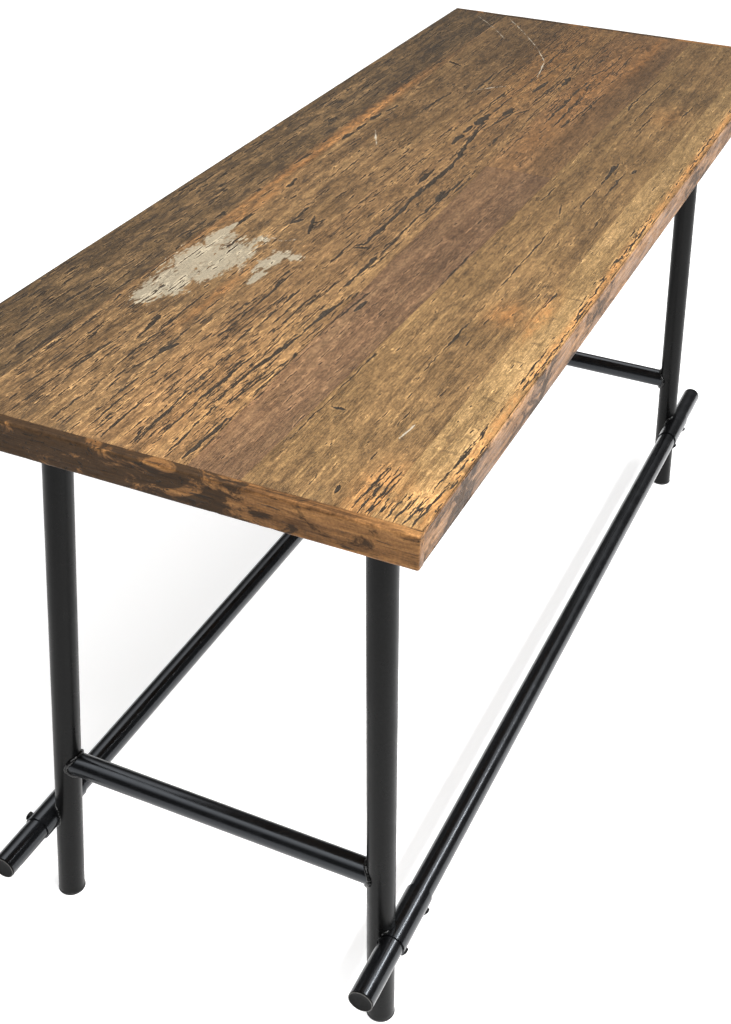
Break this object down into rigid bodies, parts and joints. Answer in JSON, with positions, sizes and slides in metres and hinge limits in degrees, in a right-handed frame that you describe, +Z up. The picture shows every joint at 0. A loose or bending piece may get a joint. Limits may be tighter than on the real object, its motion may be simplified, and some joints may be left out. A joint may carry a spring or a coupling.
{
  "type": "standing desk",
  "caption": "Tall work desk: reclaimed plank top on splayed black tube legs, with cross rails, sliding side rails in clamped sleeves and levelling feet.",
  "frame": {"origin": "on the floor under the middle of the top", "axes": "+Z up, +X along the length of the top, -Y towards the front long side"},
  "size_m": [1.92, 0.72, 1],
  "materials": {
    "board_dark": "reclaimed plank, grey-brown with dense dark grain, waxed",
    "board_golden": "reclaimed plank, golden brown with dark checks, waxed",
    "board_red": "reclaimed plank, red-brown, smooth and waxed",
    "board_brown": "reclaimed plank, mid brown with dark checks, waxed",
    "board_olive": "reclaimed plank, olive brown with nail marks, waxed",
    "board_light": "reclaimed plank, light tan with saw marks, waxed",
    "end_lipping": "end strip, red-brown with a worn lower edge",
    "beech_dowel": "plain beech, hidden in the joints",
    "black_steel": "near-black semi-gloss coated steel tube",
    "black_cap": "near-black satin cap with a worn rim",
    "black_foot": "black glide disc",
    "black_screw": "blackened steel set screw",
    "zinc_screw": "zinc plated steel",
    "weld_bead": "lumpy weld under near-black gloss coating"
  },
  "bodies": {
    "root": {"top_board_1": "board_dark", "top_board_2": "board_golden", "top_board_3": "board_golden", "top_board_4_near": "board_red", "top_board_4_far": "board_brown", "top_board_5": "board_olive", "top_board_6": "board_light", "end_lipping_near": "end_lipping", "cross_rail_near": "black_steel", "end_lipping_far": "end_lipping", "cross_rail_far": "black_steel", "edge_dowels": "beech_dowel", "wood_screws": "zinc_screw", "leg_near_right": "black_steel", "sleeve_near_right": "black_steel", "head_plate_near_right": "black_steel", "leg_end_plate_near_right": "black_steel", "leg_near_left": "black_steel", "sleeve_near_left": "black_steel", "head_plate_near_left": "black_steel", "leg_end_plate_near_left": "black_steel", "leg_far_right": "black_steel", "sleeve_far_right": "black_steel", "head_plate_far_right": "black_steel", "leg_end_plate_far_right": "black_steel", "leg_far_left": "black_steel", "sleeve_far_left": "black_steel", "head_plate_far_left": "black_steel", "leg_end_plate_far_left": "black_steel", "clamp_nuts": "black_steel", "clamp_screws": "black_screw", "foot_nuts": "zinc_screw", "head_welds": "weld_bead", "cross_rail_welds": "weld_bead", "sleeve_welds": "weld_bead"},
    "rail_right": {"side_rail_right": "black_steel", "rail_cap_near_right": "black_cap", "rail_cap_far_right": "black_cap"},
    "rail_left": {"side_rail_left": "black_steel", "rail_cap_near_left": "black_cap", "rail_cap_far_left": "black_cap"},
    "foot_near_right": {"foot_disc_near_right": "black_foot", "foot_stud_near_right": "zinc_screw"},
    "foot_near_left": {"foot_disc_near_left": "black_foot", "foot_stud_near_left": "zinc_screw"},
    "foot_far_right": {"foot_disc_far_right": "black_foot", "foot_stud_far_right": "zinc_screw"},
    "foot_far_left": {"foot_disc_far_left": "black_foot", "foot_stud_far_left": "zinc_screw"}
  },
  "joints": [
    {"name": "rail_right_slide", "type": "slide", "parent": "root", "child": "rail_right", "axis": [1, 0, 0], "range_m": [-0.06, 0.06]},
    {"name": "rail_left_slide", "type": "slide", "parent": "root", "child": "rail_left", "axis": [1, 0, 0], "range_m": [-0.06, 0.06]},
    {"name": "foot_near_right_screw", "type": "slide", "parent": "root", "child": "foot_near_right", "axis": [0, 0, -1], "range_m": [0, 0.02]},
    {"name": "foot_near_left_screw", "type": "slide", "parent": "root", "child": "foot_near_left", "axis": [0, 0, -1], "range_m": [0, 0.02]},
    {"name": "foot_far_right_screw", "type": "slide", "parent": "root", "child": "foot_far_right", "axis": [0, 0, -1], "range_m": [0, 0.02]},
    {"name": "foot_far_left_screw", "type": "slide", "parent": "root", "child": "foot_far_left", "axis": [0, 0, -1], "range_m": [0, 0.02]}
  ]
}
